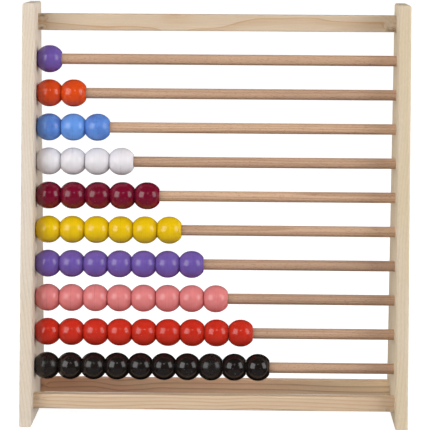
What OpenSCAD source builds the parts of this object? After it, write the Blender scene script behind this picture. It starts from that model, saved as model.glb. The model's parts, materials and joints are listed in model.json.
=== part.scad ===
// Step abacus: two side boards, three rails, ten rods, and one more bead on
// each rod from the top down. +X is to the right of a person who faces the
// abacus, +Y points away from them and +Z is up. The origin is on the
// surface it stands on, in the middle of its footprint.

/* [Frame] */
// Width over both side boards
overall_w = 290; // [230:1:400]
// Depth of a side board at its foot
foot_depth = 90; // [60:1:130]
// Depth of a side board at its top
top_depth = 44; // [40:1:60]
// Thickness of a side board
board_t = 9.5; // [8:0.5:16]
// Height of the side boards above the top rail
board_above_rail = 8.5; // [4:0.5:30]
// Radius on the long edges of a side board
board_edge_r = 1.5; // [0.5:0.1:2.5]
// Radius over the top end of a side board, seen from the front
board_top_r = 1.8; // [0.5:0.1:3.8]

/* [Rails] */
// Height of the top rail
top_rail_h = 12.5; // [8:0.5:20]
// Height of each lower rail
low_rail_h = 11; // [8:0.5:16]
// Thickness of every rail, front to back
rail_t = 8; // [5:0.5:12]
// Height of the lower rails' undersides above the ground
low_rail_up = 11.5; // [4:0.5:16]
// Distance of the front rail behind the boards' front edges
front_rail_setback = 9.5; // [2:0.5:14]
// Distance of the back rail from the boards' back edges
back_rail_inset = 19; // [2:0.5:24]
// Distance of the top rail from the boards' back edges
top_rail_inset = 16; // [2:0.5:24]
// Radius on the rails' long edges
rail_edge_r = 0.8; // [0.2:0.1:2]
// Depth of the housings that hold the rails' ends
housing_depth = 5; // [2:0.5:6.5]

/* [Rods] */
// Number of rods, which is also the number of beads on the lowest one
rows = 10; // [2:1:10]
// Diameter of a rod
rod_d = 8; // [6:0.1:10]
// Height of the lowest rod
lowest_rod_up = 41.2; // [38:0.1:60]
// Vertical distance from one rod to the next
row_rise = 25.5; // [21:0.05:34]
// Height from the top rod to the underside of the top rail
rail_above_rod = 21.3; // [14:0.05:40]
// Distance of the rods behind the boards' leaning front edges
rod_setback = 20.5; // [13:0.5:24]
// Depth of the blind holes that hold the rods' ends
seat_depth = 6; // [3:0.5:7]
// Bevel around the ends of a rod
rod_bevel = 0.6; // [0.2:0.1:1.2]

/* [Beads] */
// Largest diameter of a bead
bead_d = 20.5; // [16:0.1:25]
// Width of the flat ring around each end of the hole
end_ring_w = 1.05; // [0.4:0.05:1.5]

/* [Fits] */
// Gap between a rod and the bead around it
bead_clear = 0.3; // [0.2:0.05:0.6]
// Gap between neighbouring beads that are pushed together
bead_gap = 0.1; // [0.05:0.05:0.5]
// Glue line around a rail's or rod's end
glue_line = 0.05; // [0.02:0.01:0.15]

/* [Hidden] */
$fn = 96;
FROM_TOP_COLORS = [
    "#7a62a8", "#d4532a", "#5b84d2", "#ece8ea", "#6e1f33",
    "#dcb21f", "#7a62a8", "#e08a84", "#c9362a", "#26221f",
];
// A bead is a ball with a straight belt around its middle. Each row's beads
// come from a batch of their own, and this is the width of that batch's belt,
// from the top row down.
BATCH_BELTS = [0.9, 0.9, 0.8, 0.8, 1.05, 0.75, 0.55, 0.6, 0.7, 0.15];

overall_h = lowest_rod_up + (rows - 1) * row_rise + rail_above_rod + top_rail_h
          + board_above_rail;
lean = atan((foot_depth - top_depth) / overall_h);
inner_w = overall_w - 2 * board_t;
inside_x = inner_w / 2;
front_y = -foot_depth / 2;
back_y = foot_depth / 2;
// longer than any edge of the object, for stock that is cut back to shape
stock = overall_h + foot_depth;

low_rail_z = low_rail_up + low_rail_h / 2;
top_rail_z = overall_h - board_above_rail - top_rail_h / 2;
front_rail_y = leaning_edge_y(low_rail_z) + front_rail_setback + rail_t / 2;
back_rail_y = back_y - back_rail_inset - rail_t / 2;
top_rail_y = back_y - top_rail_inset - rail_t / 2;
bore_r = rod_d / 2 + bead_clear;
bead_r = bead_d / 2;
ring_r = bore_r + end_ring_w;
ball_length = 2 * sqrt(pow(bead_r, 2) - pow(ring_r, 2));

// y of the boards' front edges at height z
function leaning_edge_y(z) = front_y + z * tan(lean);

// Rows and beads are counted from 1, from the top and from the left.
function rod_z(row) = lowest_rod_up + (rows - row) * row_rise;
function rod_y(row) = leaning_edge_y(rod_z(row)) + rod_setback / cos(lean);
function bead_length(row) = ball_length + BATCH_BELTS[row - 1];
function bead_x(row, place) =
    -inside_x + bead_gap + (place - 1) * (bead_length(row) + bead_gap)
    + bead_length(row) / 2;

function two_digits(n) = str(n < 10 ? "0" : "", n);
function bead_name(row, place) = str("row_", two_digits(row), "_bead_", place);

BEAD_NODES = [for (row = [1:rows]) for (place = [1:row]) bead_name(row, place)];

// A rectangle on the X axis, with one radius on its two lower corners and
// another on its two upper ones
module soft_rectangle(width, height, low_r, high_r) {
    for (side = [-1, 1]) {
        translate([side * (width / 2 - low_r), low_r]) circle(low_r);
        translate([side * (width / 2 - high_r), height - high_r]) circle(high_r);
    }
    translate([-width / 2, low_r]) square([width, height - low_r - high_r]);
    translate([low_r - width / 2, 0]) square([width - 2 * low_r, height / 2]);
    translate([high_r - width / 2, height / 2])
        square([width - 2 * high_r, height / 2]);
}

// Stock along Y with the front view of a board, its rounded top and foot
module board_front() {
    translate([0, stock / 2, 0])
        rotate([90, 0, 0])
            linear_extrude(stock)
                soft_rectangle(board_t, overall_h, board_edge_r, board_top_r);
}

// Upright stock whose front edges are rounded, tipped back to follow the
// leaning front edge
module front_edge_stock() {
    translate([0, front_y, 0])
        rotate([-lean, 0, 0])
            translate([0, 0, -stock])
                linear_extrude(2 * stock)
                    soft_rectangle(board_t, stock, board_edge_r, board_edge_r);
}

// Upright stock whose back edges are rounded
module back_edge_stock() {
    translate([0, back_y - stock, -stock / 2])
        linear_extrude(2 * stock)
            soft_rectangle(board_t, stock, board_edge_r, board_edge_r);
}

module board_blank() {
    intersection() {
        board_front();
        front_edge_stock();
        back_edge_stock();
    }
}

// Rail stock along X, centred, made larger all round by grow
module rail_stock(height, length, grow = 0) {
    corner_r = rail_edge_r + grow;
    full_h = height + 2 * grow;
    translate([-length / 2, 0, -full_h / 2])
        rotate([90, 0, 90])
            linear_extrude(length)
                soft_rectangle(rail_t + 2 * grow, full_h, corner_r, corner_r);
}

module at_top_rail() {
    translate([0, top_rail_y, top_rail_z]) children();
}

module at_lower_rails() {
    for (y = [front_rail_y, back_rail_y])
        translate([0, y, low_rail_z]) children();
}

module at_rods() {
    for (row = [1:rows])
        translate([0, rod_y(row), rod_z(row)]) children();
}

// What the two boards are cut out for: the housings for the rails' ends and
// the blind holes for the rods' ends
module joinery() {
    housed_l = inner_w + 2 * housing_depth;
    seated_l = inner_w + 2 * seat_depth;
    at_top_rail() rail_stock(top_rail_h, housed_l, glue_line);
    at_lower_rails() rail_stock(low_rail_h, housed_l, glue_line);
    at_rods()
        rotate([0, 90, 0])
            cylinder(r = rod_d / 2 + glue_line, h = seated_l, center = true);
}

// One side board, with side -1 on the left and 1 on the right
module upright(side) {
    color(side < 0 ? "#dfd0bd" : "#d9c8a8")
        difference() {
            translate([side * (overall_w - board_t) / 2, 0, 0]) board_blank();
            joinery();
        }
}

module top_rail() {
    color("#d2b896")
        at_top_rail() rail_stock(top_rail_h, inner_w + 2 * housing_depth);
}

// The front and back rails, near the ground
module lower_rails() {
    color("#c8ab8d")
        at_lower_rails() rail_stock(low_rail_h, inner_w + 2 * housing_depth);
}

module rod() {
    rotate([0, 90, 0]) {
        straight_l = inner_w + 2 * (seat_depth - rod_bevel);
        cylinder(d = rod_d, h = straight_l, center = true);
        for (end = [0, 1])
            mirror([0, 0, end])
                translate([0, 0, straight_l / 2])
                    cylinder(d1 = rod_d, d2 = rod_d - 2 * rod_bevel, h = rod_bevel);
    }
}

module rods() {
    color("#b8977a")
        at_rods() rod();
}

// A turned bead around the X axis: two halves of a ball with a belt between
// them, bored through and faced at both ends
module bead_shape(belt) {
    length = ball_length + belt;
    rotate([0, 90, 0])
        rotate_extrude()
            intersection() {
                union() {
                    for (side = [-1, 1])
                        translate([0, side * belt / 2]) circle(bead_r);
                    translate([0, -belt / 2]) square([bead_r, belt]);
                }
                translate([bore_r, -length / 2]) square([bead_r, length]);
            }
}

module bead(row, place) {
    color(FROM_TOP_COLORS[row - 1])
        translate([bead_x(row, place), rod_y(row), rod_z(row)])
            bead_shape(BATCH_BELTS[row - 1]);
}

upright(-1);  // left_upright
upright(1);  // right_upright
top_rail();
lower_rails();
rods();
for (row = [1:rows])
    for (place = [1:row])
        bead(row, place);
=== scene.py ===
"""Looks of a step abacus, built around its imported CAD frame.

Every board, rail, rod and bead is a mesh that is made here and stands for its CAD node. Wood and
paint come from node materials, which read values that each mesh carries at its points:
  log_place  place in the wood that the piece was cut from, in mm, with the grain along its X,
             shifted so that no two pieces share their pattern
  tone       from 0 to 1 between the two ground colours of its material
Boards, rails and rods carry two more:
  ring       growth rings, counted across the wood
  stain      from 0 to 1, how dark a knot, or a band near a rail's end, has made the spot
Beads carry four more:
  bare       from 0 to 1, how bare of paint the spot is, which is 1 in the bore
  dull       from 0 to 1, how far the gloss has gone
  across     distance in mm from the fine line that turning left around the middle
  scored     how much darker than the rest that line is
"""

import json
import math

import bpy
import numpy as np
from mathutils import Matrix, Vector


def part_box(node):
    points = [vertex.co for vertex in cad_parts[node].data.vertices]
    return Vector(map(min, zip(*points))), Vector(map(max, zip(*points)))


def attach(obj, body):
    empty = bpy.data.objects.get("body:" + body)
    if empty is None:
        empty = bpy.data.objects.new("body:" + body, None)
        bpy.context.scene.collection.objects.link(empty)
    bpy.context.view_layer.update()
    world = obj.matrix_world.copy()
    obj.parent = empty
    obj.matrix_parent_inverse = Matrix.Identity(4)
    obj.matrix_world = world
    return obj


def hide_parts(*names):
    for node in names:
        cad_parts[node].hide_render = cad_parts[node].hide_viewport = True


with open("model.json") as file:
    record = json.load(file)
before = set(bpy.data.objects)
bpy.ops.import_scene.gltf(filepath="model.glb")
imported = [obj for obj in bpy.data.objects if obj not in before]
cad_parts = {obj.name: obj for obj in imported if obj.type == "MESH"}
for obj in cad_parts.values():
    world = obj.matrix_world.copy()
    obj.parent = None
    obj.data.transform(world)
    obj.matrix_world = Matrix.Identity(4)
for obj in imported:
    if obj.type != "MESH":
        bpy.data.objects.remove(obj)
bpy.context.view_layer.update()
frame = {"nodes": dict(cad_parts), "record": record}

MM = 0.001
FULL_TURN = 6.28
RECORD = frame["record"]
SLOT_OF = {part["node"]: part["material_slot"] for part in RECORD["subparts"]}
ROWS = len({node[:6] for node in frame["nodes"] if node.startswith("row_")})


# ---------------------------------------------------------------- node trees

class Shader:
    """The node tree of one material, with short calls that add to it."""

    def __init__(self, name):
        self.material = bpy.data.materials.new(name)
        self.material.use_nodes = True
        self.tree = self.material.node_tree
        self.tree.nodes.clear()

    def add(self, kind, inputs, **settings):
        node = self.tree.nodes.new("ShaderNode" + kind)
        for key, value in settings.items():
            setattr(node, key, value)
        for socket, value in inputs.items():
            if isinstance(value, bpy.types.NodeSocket):
                self.tree.links.new(value, node.inputs[socket])
            else:
                node.inputs[socket].default_value = value
        return node

    def attribute(self, name, output="Fac"):
        return self.add("Attribute", {}, attribute_name=name).outputs[output]

    def calc(self, operation, a, b=0.0, clamp=False):
        return self.add("Math", {0: a, 1: b}, operation=operation, use_clamp=clamp).outputs[0]

    def noise(self, place, stretch, detail=2.0, roughness=0.5, shift=0.0):
        """Noise from 0 to 1. Stretch is how many of its cells fit in a mm, along each axis."""
        moved = self.add("VectorMath", {0: place, 1: stretch, 2: (shift, shift, shift)},
                         operation="MULTIPLY_ADD").outputs[0]
        inputs = {"Vector": moved, "Scale": 1.0, "Detail": detail, "Roughness": roughness}
        return self.add("TexNoise", inputs).outputs["Fac"]

    def step(self, value, low, high, start=0.0, end=1.0):
        """A smooth step from start to end as value goes from low to high."""
        inputs = {"Value": value, "From Min": low, "From Max": high, "To Min": start, "To Max": end}
        return self.add("MapRange", inputs, interpolation_type="SMOOTHSTEP").outputs[0]

    def mix(self, factor, a, b, mode="MIX"):
        inputs = {0: factor, 6: a, 7: b}
        return self.add("Mix", inputs, data_type="RGBA", blend_type=mode).outputs[2]

    def shade(self, color, factor):
        """Color with its brightness times factor."""
        return self.add("VectorMath", {0: color, 3: factor}, operation="SCALE").outputs[0]

    def bump(self, height, depth):
        """Relief of that depth in metres."""
        return self.add("Bump", {"Height": height, "Distance": depth, "Strength": 1.0}).outputs[0]

    def finish(self, color, roughness, normal, specular):
        inputs = {"Base Color": color, "Roughness": roughness, "Normal": normal,
                  "Specular IOR Level": specular}
        shader = self.add("BsdfPrincipled", inputs)
        self.add("OutputMaterial", {"Surface": shader.outputs[0]})
        return self.material


def linear(red, green, blue):
    """A scene colour from 8-bit display values."""
    def one(value):
        share = value / 255
        return share / 12.92 if share <= 0.04045 else ((share + 0.055) / 1.055) ** 2.4
    return (one(red), one(green), one(blue), 1.0)


KNOT_BROWN = (0.13, 0.07, 0.028, 1.0)
SPECK_PALE = (0.75, 0.7, 0.66, 1.0)
BARE_PALE = (0.50, 0.34, 0.20, 1.0)
BARE_DARK = (0.30, 0.18, 0.10, 1.0)
WOOD_ROUGHNESS = 0.55
WOOD_RELIEF = 0.06 * MM
PAINT_ROUGHNESS = 0.13
PAINT_RELIEF = 0.01 * MM


def wood(name, pale, warm, late, late_share, fleck_share, line_share=0.12):
    """Planed or turned wood: rings, long fibres, short dark flecks, stains and a faint relief.

    Pale and warm are the ground colours, and late is that of the dark line that ends a ring.
    Late_share and fleck_share say how strongly lines and flecks darken the ground, and line_share
    how much of a ring its line takes.
    """
    s = Shader(name)
    place = s.attribute("log_place", "Vector")

    # each ring darkens slowly, then quickly up to its line, and the next one starts pale
    wander = s.noise(place, (0.015, 0.1, 0.1), detail=1.0)
    ring = s.calc("ADD", s.attribute("ring"), s.step(wander, 0.2, 0.8, -0.22, 0.22))
    share = s.calc("FRACT", ring)
    slow_rise = s.step(share, 0.35, 0.9, 0.0, 0.45)
    quick_rise = s.step(share, 1 - 2.2 * line_share, 1 - line_share, 0.0, 0.55)
    fall = s.step(share, 1 - 0.7 * line_share, 1.0, 1.0, 0.0)
    line = s.calc("MULTIPLY", s.calc("ADD", slow_rise, quick_rise), fall)
    number = s.calc("FLOOR", ring)
    random = s.add("TexWhiteNoise", {"W": number}, noise_dimensions="1D").outputs["Value"]
    line = s.calc("MULTIPLY", line, s.step(random, -0.7, 0.7))

    cloud = s.noise(place, (0.008, 0.08, 0.08), detail=1.0, shift=5.0)
    fibre = s.noise(place, (0.05, 2.4, 2.4), detail=3.0, roughness=0.6, shift=9.0)
    fleck = s.step(s.noise(place, (0.45, 3.2, 3.2), detail=1.0, shift=17.0), 0.6, 0.72)
    patch = s.noise(place, (0.3, 0.5, 0.5), detail=2.0, shift=23.0)

    warmth = s.calc("ADD", s.attribute("tone"), s.step(cloud, 0.3, 0.7, -0.18, 0.18), clamp=True)
    color = s.mix(s.calc("MULTIPLY", line, late_share), s.mix(warmth, pale, warm), late)
    color = s.shade(color, s.step(fibre, 0.25, 0.75, 0.93, 1.05))
    color = s.mix(s.calc("MULTIPLY", fleck, fleck_share), color, late, "MULTIPLY")
    stain = s.calc("MULTIPLY", s.attribute("stain"), s.step(patch, 0.35, 0.65, 0.4, 1.5), clamp=True)
    color = s.mix(stain, color, KNOT_BROWN)

    relief = s.calc("ADD", fibre, s.calc("MULTIPLY", line, 0.6))
    rough = s.step(s.calc("ADD", relief, fleck), 0.2, 1.6,
                   WOOD_ROUGHNESS - 0.06, WOOD_ROUGHNESS + 0.08)
    return s.finish(color, rough, s.bump(relief, WOOD_RELIEF), 0.35)


def paint(name, color, deep):
    """Gloss paint on a turned bead: cloudy between two colours, with turning lines and specks."""
    s = Shader(name)
    place = s.attribute("log_place", "Vector")
    bare = s.attribute("bare")

    cloud = s.noise(place, (0.12, 0.12, 0.12), detail=5.0, roughness=0.68)
    turning = s.noise(place, (2.6, 0.04, 0.04), detail=2.0, shift=3.0)
    grit = s.noise(place, (1.5, 1.5, 1.5), detail=2.0, shift=7.0)
    speck = s.step(s.noise(place, (1.1, 1.1, 1.1), detail=0.0, shift=13.0), 0.79, 0.83)
    grain = s.noise(place, (0.2, 2.0, 2.0), detail=2.0, shift=19.0)

    depth = s.calc("ADD", s.step(cloud, 0.3, 0.72, -0.3, 0.3), s.attribute("tone"), clamp=True)
    coat = s.shade(s.mix(depth, color, deep), s.step(turning, 0.3, 0.7, 0.97, 1.025))
    off_line = s.calc("ABSOLUTE", s.attribute("across"))
    line = s.calc("MULTIPLY", s.step(off_line, 0.1, 0.3, 1.0, 0.0), s.step(cloud, 0.4, 0.6))
    coat = s.shade(coat, s.calc("SUBTRACT", 1.0, s.calc("MULTIPLY", line, s.attribute("scored"))))
    coat = s.mix(s.calc("MULTIPLY", speck, 0.08), coat, SPECK_PALE)
    whole = s.mix(bare, coat, s.mix(grain, BARE_PALE, BARE_DARK))

    rough = s.step(s.calc("ADD", s.calc("MULTIPLY", grit, 0.5), s.calc("MULTIPLY", cloud, 0.5)),
                   0.3, 0.7, PAINT_ROUGHNESS - 0.04, PAINT_ROUGHNESS + 0.07)
    rough = s.calc("ADD", rough, s.calc("MULTIPLY", bare, 0.3))
    rough = s.calc("ADD", rough, s.calc("MULTIPLY", s.attribute("dull"), 0.25))
    relief = s.calc("ADD", s.calc("MULTIPLY", turning, 0.5), s.calc("MULTIPLY", grit, 0.3))
    return s.finish(whole, rough, s.bump(relief, PAINT_RELIEF), 0.5)


# ---------------------------------------------------------------- meshes

def skin(name, rings, loop=False):
    """A mesh through rings of points, capped at both ends. With loop the last joins the first."""
    count, around, _ = rings.shape
    faces = []
    for ring in range(count if loop else count - 1):
        here = ring * around
        there = (ring + 1) % count * around
        for point in range(around):
            after = (point + 1) % around
            faces.append((here + point, here + after, there + after, there + point))
    if not loop:
        faces.append(tuple(reversed(range(around))))
        faces.append(tuple(range((count - 1) * around, count * around)))
    mesh = bpy.data.meshes.new(name)
    mesh.from_pydata(rings.reshape(-1, 3).tolist(), [], faces)
    mesh.shade_smooth()
    mesh.set_sharp_from_angle(angle=math.radians(40))
    return mesh


def set_values(mesh, **values):
    """Stores one number or vector at each point under each name."""
    for name, value in values.items():
        count = len(mesh.vertices)
        value = np.asarray(value, np.float32)
        if value.ndim == 0:
            value = np.full(count, value, np.float32)
        vector = value.ndim == 2
        layer = mesh.attributes.new(name, "FLOAT_VECTOR" if vector else "FLOAT", "POINT")
        layer.data.foreach_set("vector" if vector else "value", value.ravel())


def points(mesh):
    """The mesh's points as an array."""
    flat = np.empty(len(mesh.vertices) * 3, np.float32)
    mesh.vertices.foreach_get("co", flat)
    return flat.reshape(-1, 3).astype(float)


def add_piece(mesh, material, node, body):
    piece = bpy.data.objects.new(mesh.name, mesh)
    bpy.context.scene.collection.objects.link(piece)
    mesh.materials.append(material)
    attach(piece, body)
    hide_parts(node)


def soft_box_section(width, height, radius, spacing):
    """Points around a rectangle with rounded corners, counter-clockwise."""
    section = []
    corners = ((1, -1, -90), (1, 1, 0), (-1, 1, 90), (-1, -1, 180))
    for side, level, start in corners:
        centre = np.array((side * (width / 2 - radius), level * (height / 2 - radius)))
        for turn in range(0, 91, 18):
            angle = math.radians(start + turn)
            section.append(centre + radius * np.array((math.cos(angle), math.sin(angle))))
    filled = []
    for here, there in zip(section, section[1:] + section[:1]):
        parts = max(1, round(float(np.linalg.norm(there - here)) / spacing))
        filled += [here + (there - here) * part / parts for part in range(parts)]
    return np.array(filled)


def bell(distance, width):
    """1 at no distance, which fades to 0 beyond about width."""
    return np.exp(-(distance / width) ** 2)


BEND_REACH = 4  # mm


def smooth_line(along, places):
    """Heights along a piece, on straight stretches between (along, height) places, with soft bends."""
    ends, heights = zip(*places)
    steps = np.linspace(-BEND_REACH, BEND_REACH, 9)
    return np.mean([np.interp(along + step, ends, heights) for step in steps], axis=0)


def waver(along, rng, length, size):
    """A slow, smooth and random wave along a piece, with waves about that long."""
    parts = (1.0, 0.55, 0.3)
    total = np.zeros_like(along)
    for part in parts:
        total += part * np.sin(along * 2 * math.pi / (length * part) + rng.uniform(0, FULL_TURN))
    return total * size / sum(parts)


# ---------------------------------------------------------------- sizes read from the frame

def bead_node(row, place):
    return f"row_{row:02d}_bead_{place}"


def middle(node):
    low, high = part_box(node)
    return (low + high) / 2


ROD_CENTRES = [middle(bead_node(row, 1)) for row in range(1, ROWS + 1)]
ROD_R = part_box("rods")[1].z - ROD_CENTRES[0].z
LEAN = math.atan2(ROD_CENTRES[0].y - ROD_CENTRES[-1].y, ROD_CENTRES[0].z - ROD_CENTRES[-1].z)
RAIL_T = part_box("top_rail")[1].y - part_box("top_rail")[0].y


# ---------------------------------------------------------------- boards

BOARD_EDGE_R = 1.5 * MM
BOARD_TOP_R = 1.8 * MM
EDGE_STEPS = 5
TOP_STEPS = 7
LEVEL_SPACING = 2 * MM
SIDE_POINTS = 28
PITH_OFFSET = 55 * MM
BOARD_RING = 2.1 * MM


def board_rings(low, high):
    """Level rings around a side board, from its foot up.

    Its front leans back, and its foot, its top and its long edges are rounded.
    """
    half = (high.x - low.x) / 2
    centre = (high.x + low.x) / 2
    turns = np.radians(np.linspace(0, 90, EDGE_STEPS + 1))
    bend = half - BOARD_EDGE_R + BOARD_EDGE_R * np.sin(turns[::-1])
    across = np.concatenate((-bend, np.linspace(-bend[-1], bend[-1], 5)[1:-1], bend[::-1]))

    levels = [(low.z + BOARD_EDGE_R * (1 - math.cos(t)), half - BOARD_EDGE_R * (1 - math.sin(t)))
              for t in turns]
    straight = np.arange(levels[-1][0] + LEVEL_SPACING, high.z - BOARD_TOP_R - LEVEL_SPACING / 2,
                         LEVEL_SPACING)
    levels += [(z, half) for z in straight]
    levels += [(high.z - BOARD_TOP_R * (1 - math.sin(t)), half - BOARD_TOP_R * (1 - math.cos(t)))
               for t in np.radians(np.linspace(0, 90, TOP_STEPS + 1))]

    rings = []
    for z, reach in levels:
        x = across * reach / half
        over = np.clip(np.abs(x) - (half - BOARD_EDGE_R), 0, BOARD_EDGE_R)
        back_off = BOARD_EDGE_R - np.sqrt(BOARD_EDGE_R ** 2 - over ** 2)
        front = low.y + z * math.tan(LEAN) + back_off / math.cos(LEAN)
        back = high.y - back_off
        side = np.linspace(front[0], back[0], SIDE_POINTS + 2)[1:-1]
        ring = [(centre + a, b) for a, b in zip(x, front)]
        ring += [(centre + x[-1], b) for b in side]
        ring += [(centre + a, b) for a, b in zip(x[::-1], back)]
        ring += [(centre + x[0], b) for b in side[::-1]]
        rings.append([(a, b, z) for a, b in ring])
    return np.array(rings)


def make_board(name, node, material, tone, seed):
    """A flat-sawn side board. Its pith lies outside it, so that its wide faces show arched rings."""
    rng = np.random.default_rng(seed)
    low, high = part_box(node)
    mesh = skin(name, board_rings(low, high))
    place = points(mesh)
    along = place[:, 2]
    outward = 1 if low.x > 0 else -1
    pith_x = (low.x + high.x) / 2 - outward * PITH_OFFSET + waver(along, rng, 0.5, 6 * MM)
    pith_y = 6 * MM + waver(along, rng, 0.7, 5 * MM)
    radius = np.hypot(place[:, 0] - pith_x, place[:, 1] - pith_y)
    set_values(mesh,
               log_place=np.stack((along, place[:, 0], place[:, 1]), axis=1) / MM + 100 * seed,
               ring=radius / BOARD_RING,
               tone=tone,
               stain=0.0)
    add_piece(mesh, material, node, "frame")


# ---------------------------------------------------------------- rails

RAIL_EDGE_R = 0.8 * MM
RAIL_POINT_SPACING = 1.0 * MM
RAIL_RING_SPACING = 1.5 * MM
RAIL_BOW = 0.05 * MM
FIRST_RING = 40
KNOT_STRETCH = 1.6
KNOT_REACH = 2.2
KNOT_BEND = 0.8
DARKEST_STAIN = 0.9


def make_rail(name, node, material, centre, length, height, look):
    """A rail along X. Look says how its rings run and what marks it carries.

    Rings bend away from a knot, within KNOT_REACH times its size and by up to KNOT_BEND rings.
    """
    rng = np.random.default_rng(look["seed"])
    section = soft_box_section(RAIL_T, height, RAIL_EDGE_R, RAIL_POINT_SPACING)
    stations = np.linspace(-length / 2, length / 2, round(length / RAIL_RING_SPACING) + 1)
    sag = waver(stations, rng, 0.3, RAIL_BOW)
    rings = np.array([[(x, centre.y + y, centre.z + z + drop) for y, z in section]
                      for x, drop in zip(stations, sag)])
    mesh = skin(name, rings)
    place = points(mesh)
    x, y, z = place[:, 0], place[:, 1] - centre.y, place[:, 2] - centre.z
    line = smooth_line(x / MM, look["line"]) * MM
    ring = (z - line - look["slant"] * y) / (look["ring_mm"] * MM) + FIRST_RING
    stain = np.zeros(len(place))
    for knot_x, knot_z, size, dark in look["knots"]:
        away = np.hypot((x - knot_x * MM) / KNOT_STRETCH, z - knot_z * MM)
        bend = KNOT_BEND * bell(away, KNOT_REACH * size * MM)
        ring += np.where(z > knot_z * MM, bend, -bend)
        stain += dark * bell(away, size * MM)
    # bands near each end, where the rail meets a board, make the wood darker there
    for band_x, width, dark in look["end_bands"]:
        stain += dark * bell(x - band_x * MM, width * MM)
    set_values(mesh,
               log_place=np.stack((x, z, y), axis=1) / MM + 70 * look["seed"],
               ring=ring,
               tone=np.interp(x, (-length / 2, length / 2), look["tone"]),
               stain=np.clip(stain, 0, DARKEST_STAIN))
    add_piece(mesh, material, node, "frame")


# ---------------------------------------------------------------- rods

ROD_BEVEL = 0.6 * MM
ROD_RING = 1.7 * MM
ROD_PITH_OFFSET = 31 * MM
ROD_SPACING = 2 * MM
ROD_UNEVEN = 0.02 * MM
ROD_BOW = 0.1 * MM
DEGREES_PER_ROD_POINT = 10


def make_rod(row, material, tone):
    """A dowel that is a little bowed and not quite even, bevelled at both ends."""
    rng = np.random.default_rng(200 + row)
    low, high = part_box("rods")
    centre = ROD_CENTRES[row - 1]
    stations = np.concatenate(((low.x, low.x + ROD_BEVEL),
                               np.arange(low.x + ROD_SPACING, high.x - 1.5 * MM, ROD_SPACING),
                               (high.x - ROD_BEVEL, high.x)))
    radius = ROD_R - ROD_UNEVEN + waver(stations, rng, 0.11, ROD_UNEVEN)
    radius[[0, -1]] = ROD_R - ROD_BEVEL
    span = np.clip((stations - low.x) / (high.x - low.x), 0, 1)
    bow = np.sin(span * math.pi)
    bow_y, bow_z = rng.uniform(-ROD_BOW, ROD_BOW, 2)
    angles = np.radians(np.arange(0, 360, DEGREES_PER_ROD_POINT))
    rings = np.empty((len(stations), len(angles), 3))
    rings[:, :, 0] = stations[:, None]
    rings[:, :, 1] = centre.y + (bow * bow_y)[:, None] + radius[:, None] * np.cos(angles)
    rings[:, :, 2] = centre.z + (bow * bow_z)[:, None] + radius[:, None] * np.sin(angles)
    mesh = skin(f"rod_{row:02d}", rings)
    place = points(mesh)
    turn = rng.uniform(0, FULL_TURN)
    y, z = place[:, 1] - centre.y, place[:, 2] - centre.z
    v = y * math.cos(turn) - z * math.sin(turn)
    w = y * math.sin(turn) + z * math.cos(turn)
    drift = waver(place[:, 0], rng, 0.35, 0.7 * MM)
    set_values(mesh,
               log_place=np.stack((place[:, 0], v, w), axis=1) / MM + 50 * row,
               ring=np.hypot(v + ROD_PITH_OFFSET + drift, w) / ROD_RING,
               tone=tone,
               stain=0.0)
    add_piece(mesh, material, "rods", "frame")


# ---------------------------------------------------------------- beads

BEAD_EDGE_R = 0.32 * MM
BORE_EDGE_R = 0.25 * MM
OVAL = 0.02 * MM
THREE_SIDED = 0.01 * MM
CURVE_STEPS = 4
BALL_STEPS = 12
BORE_PARTS = 5
DEGREES_PER_BEAD_POINT = 6


def curve_round(start, corner, end):
    """Points on a short curve from start to end that rounds off the corner."""
    return [tuple((1 - t) ** 2 * a + 2 * t * (1 - t) * b + t * t * c
                  for a, b, c in zip(start, corner, end))
            for t in np.linspace(0, 1, CURVE_STEPS + 1)]


def bead_profile(length, outer_r, ring_r, bore_r):
    """(x, radius) around one side of a bead's section: over the top, then back through the bore."""
    belt = length - 2 * math.sqrt(outer_r ** 2 - ring_r ** 2)
    begin = math.asin(ring_r / outer_r) + BEAD_EDGE_R / outer_r

    def on_ball(angle):
        return (-belt / 2 - outer_r * math.cos(angle), outer_r * math.sin(angle))

    left = -length / 2
    half = curve_round((left + BORE_EDGE_R, bore_r), (left, bore_r), (left, bore_r + BORE_EDGE_R))
    half += curve_round((left, ring_r - BEAD_EDGE_R), (left, ring_r), on_ball(begin))
    half += [on_ball(angle) for angle in np.linspace(begin, math.pi / 2, BALL_STEPS)[1:]]
    mirrored = [(-x, radius) for x, radius in reversed(half)]
    straight = length - 2 * BORE_EDGE_R
    bore = [(straight / 2 - straight * part / BORE_PARTS, bore_r) for part in range(1, BORE_PARTS)]
    return half + mirrored + bore


# by row and place: a bead whose paint is paler (0) than its neighbours', and beads that are duller
BEAD_TONES = {(3, 2): 0.0}
DULL_BEADS = {(10, 8): 0.45, (10, 1): 0.5, (10, 3): 0.25}


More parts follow.
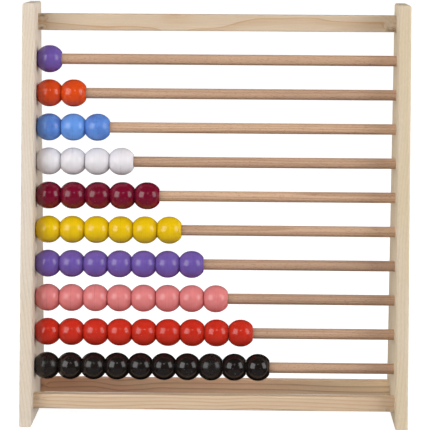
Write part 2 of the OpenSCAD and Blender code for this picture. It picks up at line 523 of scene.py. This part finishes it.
def make_bead(row, place, material):
    """A turned and painted bead, slightly out of round but never past its CAD node."""
    node = bead_node(row, place)
    rng = np.random.default_rng(1000 * row + place)
    low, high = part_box(node)
    centre = (low + high) / 2
    corners = points(frame["nodes"][node].data) - np.array(centre)
    reach = np.hypot(corners[:, 1], corners[:, 2])
    at_end = corners[:, 0] < low.x - centre.x + 0.01 * MM
    profile = np.array(bead_profile(high.x - low.x, (high.z - low.z) / 2,
                                    reach[at_end].max(), reach.min()))
    angles = np.radians(np.arange(0, 360, DEGREES_PER_BEAD_POINT))
    outside = np.clip((profile[:, 1] - reach.min()) / (reach.max() - reach.min()), 0, 1)
    sway = (OVAL * np.sin(2 * angles + rng.uniform(0, FULL_TURN))
            + THREE_SIDED * np.sin(3 * angles + rng.uniform(0, FULL_TURN)) - OVAL - THREE_SIDED)
    radius = profile[:, 1][:, None] + outside[:, None] * sway
    rings = np.empty((len(profile), len(angles), 3))
    rings[:, :, 0] = profile[:, 0][:, None]
    rings[:, :, 1] = radius * np.cos(angles)
    rings[:, :, 2] = radius * np.sin(angles)
    mesh = skin(f"ball_{row:02d}_{place:02d}", rings + np.array(centre), loop=True)

    local = points(mesh) - np.array(centre)
    from_axis = np.hypot(local[:, 1], local[:, 2])
    turn = rng.uniform(0, FULL_TURN)
    v = local[:, 1] * math.cos(turn) - local[:, 2] * math.sin(turn)
    w = local[:, 1] * math.sin(turn) + local[:, 2] * math.cos(turn)
    shift = rng.uniform(-300, 300, 3)
    set_values(mesh,
               log_place=np.stack((local[:, 0], v, w), axis=1) / MM + shift,
               bare=1 - np.clip((from_axis - reach.min()) / BORE_EDGE_R, 0, 1),
               tone=BEAD_TONES.get((row, place), rng.uniform(0.35, 0.65)),
               dull=DULL_BEADS.get((row, place), rng.uniform(0, 0.15)),
               across=local[:, 0] / MM + rng.uniform(-0.4, 0.4),
               scored=rng.uniform(-0.12, 0.22))
    add_piece(mesh, material, node, node)


# ---------------------------------------------------------------- surroundings

def glowing(name, light, base=0.0):
    """A plain pale material that gives light of its own."""
    s = Shader(name)
    place = s.add("TexCoord", {}).outputs["Object"]
    cloud = s.noise(place, (0.8, 0.8, 0.8))
    paler = base * 1.03
    color = s.mix(cloud, (base, base, base, 1.0), (paler, paler, paler, 1.0))
    shader = s.add("BsdfPrincipled", {"Base Color": color, "Roughness": 0.9,
                                      "Specular IOR Level": 0.0,
                                      "Emission Color": (1.0, 1.0, 1.0, 1.0),
                                      "Emission Strength": light})
    s.add("OutputMaterial", {"Surface": shader.outputs[0]})
    return s.material


def add_stage(mesh, material):
    """A piece of the surroundings. Only the camera sees it: it neither lights nor shades the object."""
    mesh.materials.append(material)
    piece = bpy.data.objects.new(mesh.name, mesh)
    piece.visible_diffuse = False
    piece.visible_glossy = False
    piece.visible_transmission = False
    piece.visible_shadow = False
    bpy.context.scene.collection.objects.link(piece)


def add_floor_and_backdrop():
    """A wide pale floor under a pale dome, both bright enough to look white from the front."""
    reach = 30.0
    floor = bpy.data.meshes.new("floor")
    floor.from_pydata([(-reach, -reach, 0), (reach, -reach, 0), (reach, reach, 0),
                       (-reach, reach, 0)], [], [(0, 1, 2, 3)])
    add_stage(floor, glowing("floor", 0.8, 0.5))

    dome = []
    for turn in np.radians(np.linspace(0, 89, 24)):
        angles = np.radians(np.arange(0, 360, 10))
        dome.append([(reach * math.cos(turn) * math.cos(a), reach * math.cos(turn) * math.sin(a),
                      reach * math.sin(turn)) for a in angles])
    add_stage(skin("backdrop", np.array(dome)), glowing("backdrop", 1.06))


def add_light(name, side, up, distance, width, height, glow, mirrored=True, lights=True):
    """A soft box that faces the object's middle, from that many degrees to the right and up.

    Glow is its brightness, where 1 looks white. Mirrored says whether gloss shows it, and lights
    whether it also lights what isn't gloss.
    """
    target = Vector((0, 0, 0.16))
    side, up = math.radians(side), math.radians(up)
    direction = Vector((math.sin(side) * math.cos(up), -math.cos(side) * math.cos(up), math.sin(up)))
    data = bpy.data.lights.new(name, "AREA")
    data.shape = "RECTANGLE"
    data.size = width
    data.size_y = height
    data.energy = glow * math.pi * width * height
    light = bpy.data.objects.new(name, data)
    light.location = target + direction * distance
    light.rotation_euler = (-direction).to_track_quat("-Z", "Y").to_euler()
    light.visible_camera = False
    light.visible_glossy = mirrored
    light.visible_diffuse = lights
    bpy.context.scene.collection.objects.link(light)


def add_room():
    """The soft light that comes from all around, less of it from below. Gloss doesn't mirror it."""
    world = bpy.data.worlds.new("room")
    world.use_nodes = True
    nodes, links = world.node_tree.nodes, world.node_tree.links
    direction = nodes.new("ShaderNodeTexCoord").outputs["Generated"]
    height = nodes.new("ShaderNodeSeparateXYZ")
    links.new(direction, height.inputs[0])
    glow = nodes.new("ShaderNodeMapRange")
    for socket, value in (("From Min", -0.6), ("From Max", 0.1), ("To Min", 0.12), ("To Max", 0.38)):
        glow.inputs[socket].default_value = value
    links.new(height.outputs["Z"], glow.inputs["Value"])
    background = nodes["Background"]
    links.new(glow.outputs[0], background.inputs["Strength"])
    background.inputs["Color"].default_value = (0.97, 0.98, 1.0, 1.0)
    world.cycles_visibility.glossy = False
    bpy.context.scene.world = world


def add_surroundings():
    add_floor_and_backdrop()
    # degrees to the right and up, then distance, width and height in metres, then brightness
    add_light("left_box", -45, 17, 1.3, 0.97, 1.05, 3.35)
    add_light("right_box", 60, 17, 1.3, 0.7, 1.0, 3.0)
    add_light("lamp", 2, 32, 1.3, 0.2, 0.11, 6.0, lights=False)
    add_light("table", 0, -42, 1.3, 2.6, 1.4, 0.2, lights=False)
    add_light("front_fill", 20, -2, 1.6, 1.4, 1.2, 0.1, mirrored=False)
    add_light("left_fill", -68, 5, 1.6, 1.0, 1.4, 1.3, mirrored=False)
    add_light("right_fill", 68, 5, 1.6, 1.0, 1.4, 2.6, mirrored=False)
    add_light("left_back_fill", -122, 12, 1.6, 1.2, 1.4, 2.2, mirrored=False)
    add_light("right_back_fill", 120, 12, 1.6, 1.2, 1.4, 2.6, mirrored=False)
    add_room()
    bpy.context.scene.view_settings.view_transform = "Standard"


def add_camera():
    """A long lens, nearly square to the front and a little above it."""
    data = bpy.data.cameras.new("camera")
    data.sensor_width = 36.0
    data.lens = 156.4
    data.clip_end = 100.0
    camera = bpy.data.objects.new("camera", data)
    place = Vector((0.0256, -1.3964, 0.3658))
    pan, pitch, roll = (math.radians(angle) for angle in (1.06, 8.60, 0.33))
    camera.matrix_world = (Matrix.Translation(place) @ Matrix.Rotation(pan, 4, "Z")
                           @ Matrix.Rotation(math.pi / 2 - pitch, 4, "X")
                           @ Matrix.Rotation(roll, 4, "Z"))
    bpy.context.scene.collection.objects.link(camera)
    bpy.context.scene.camera = camera


# ---------------------------------------------------------------- the object

# each paint where it is pale and where it is deep
PAINTS = {
    "bead_purple": (linear(113, 88, 169), linear(101, 78, 154)),
    "bead_orange": (linear(220, 77, 23), linear(205, 65, 19)),
    "bead_blue": (linear(100, 150, 224), linear(73, 107, 186)),
    "bead_white": (linear(232, 228, 231), linear(220, 216, 220)),
    "bead_maroon": (linear(121, 10, 43), linear(107, 10, 36)),
    "bead_yellow": (linear(232, 193, 7), linear(220, 179, 7)),
    "bead_pink": (linear(223, 132, 130), linear(212, 118, 117)),
    "bead_red": (linear(202, 48, 29), linear(187, 39, 22)),
    "bead_black": (linear(32, 27, 24), linear(22, 17, 17)),
}

# Lengths in mm. line: (x, height) along one ring; knots: (x, height, size, darkness);
# end_bands: (x, width, darkness), darker bands near the rail's ends; tone: at the left and right end
TOP_RAIL = dict(seed=3, ring_mm=14.0, slant=0.3, tone=(0.3, 0.4),
                line=((-140, 0.9), (-125, -0.4), (-98, -3.2), (-84, -3.0), (-62, -1.4), (-46, -1.4),
                      (-36, -6.4), (-26, -6.4), (-18, -3.0), (-2, -1.2), (14, 0.8), (32, 4.0),
                      (60, 5.4), (140, 4.8)),
                knots=((-132, 4.5, 1.2, 0.5), (-133, -4.6, 1.0, 0.6), (132, -4.2, 1.6, 0.7)),
                end_bands=((-138, 8, 0.22), (137, 10, 0.25)))
FRONT_RAIL = dict(seed=4, ring_mm=2.9, slant=-0.2, tone=(0.2, 0.5),
                  line=((-140, 0.8), (-90, 0), (-40, 0.6), (4, 0), (28, 1.5), (60, 0.6), (140, -1.5)),
                  knots=((-133, 2.4, 1.5, 0.3), (131, -4.4, 0.9, 0.8)),
                  end_bands=((-138, 4, 0.12), (137, 3, 0.12)))
BACK_RAIL = dict(seed=5, ring_mm=4.2, slant=0.5, tone=(1.0, 0.0),
                 line=((-140, 0), (-95, 1.5), (-75, -2), (-45, 1.2), (10, 0.2), (60, 1), (140, -0.5)),
                 knots=((-134, 0.5, 1.0, 0.5),),
                 end_bands=((-137, 3, 0.2), (134, 3, 0.1)))
ROD_TONES = (0.62, 0.38, 1.0, 0.4, 0.9, 0.75, 0.03, 0.22, 0.25, 0.22)


def build_object():
    upright_wood = wood("upright_wood", linear(218, 205, 190), linear(211, 193, 163),
                        linear(198, 174, 145), late_share=0.5, fleck_share=0.05)
    top_rail_wood = wood("top_rail_wood", linear(213, 193, 167), linear(203, 178, 150),
                         linear(184, 136, 84), late_share=0.8, fleck_share=0.08,
                         line_share=0.05)
    front_rail_wood = wood("front_rail_wood", linear(219, 194, 164), linear(210, 179, 147),
                           linear(184, 138, 96), late_share=0.65, fleck_share=0.08,
                           line_share=0.2)
    # painted light: the back rail's ground colours are paler than its wood, to make up for the shade
    # that falls on it behind the beads
    back_rail_painted_light_wood = wood("back_rail_painted_light_wood", linear(248, 222, 184), linear(229, 177, 140),
                          linear(150, 94, 60), late_share=0.6, fleck_share=0.12,
                          line_share=0.15)
    rod_wood = wood("rod_wood", linear(179, 146, 121), linear(210, 173, 142),
                    linear(150, 109, 80), late_share=0.45, fleck_share=0.5,
                    line_share=0.3)
    paints = {slot: paint(slot, *colors) for slot, colors in PAINTS.items()}

    make_board("left_board", "left_upright", upright_wood, tone=0.15, seed=1)
    make_board("right_board", "right_upright", upright_wood, tone=0.85, seed=2)

    low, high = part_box("top_rail")
    make_rail("head_rail", "top_rail", top_rail_wood, (low + high) / 2, high.x - low.x,
              high.z - low.z, TOP_RAIL)
    low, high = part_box("lower_rails")
    for name, material, y, look in (("front_rail", front_rail_wood, low.y + RAIL_T / 2, FRONT_RAIL),
                                    ("back_rail", back_rail_painted_light_wood, high.y - RAIL_T / 2, BACK_RAIL)):
        centre = Vector((0, y, (low.z + high.z) / 2))
        make_rail(name, "lower_rails", material, centre, high.x - low.x, high.z - low.z, look)

    for row in range(1, ROWS + 1):
        make_rod(row, rod_wood, ROD_TONES[row - 1])
        for place in range(1, row + 1):
            make_bead(row, place, paints[SLOT_OF[bead_node(row, place)]])


build_object()
add_surroundings()
add_camera()
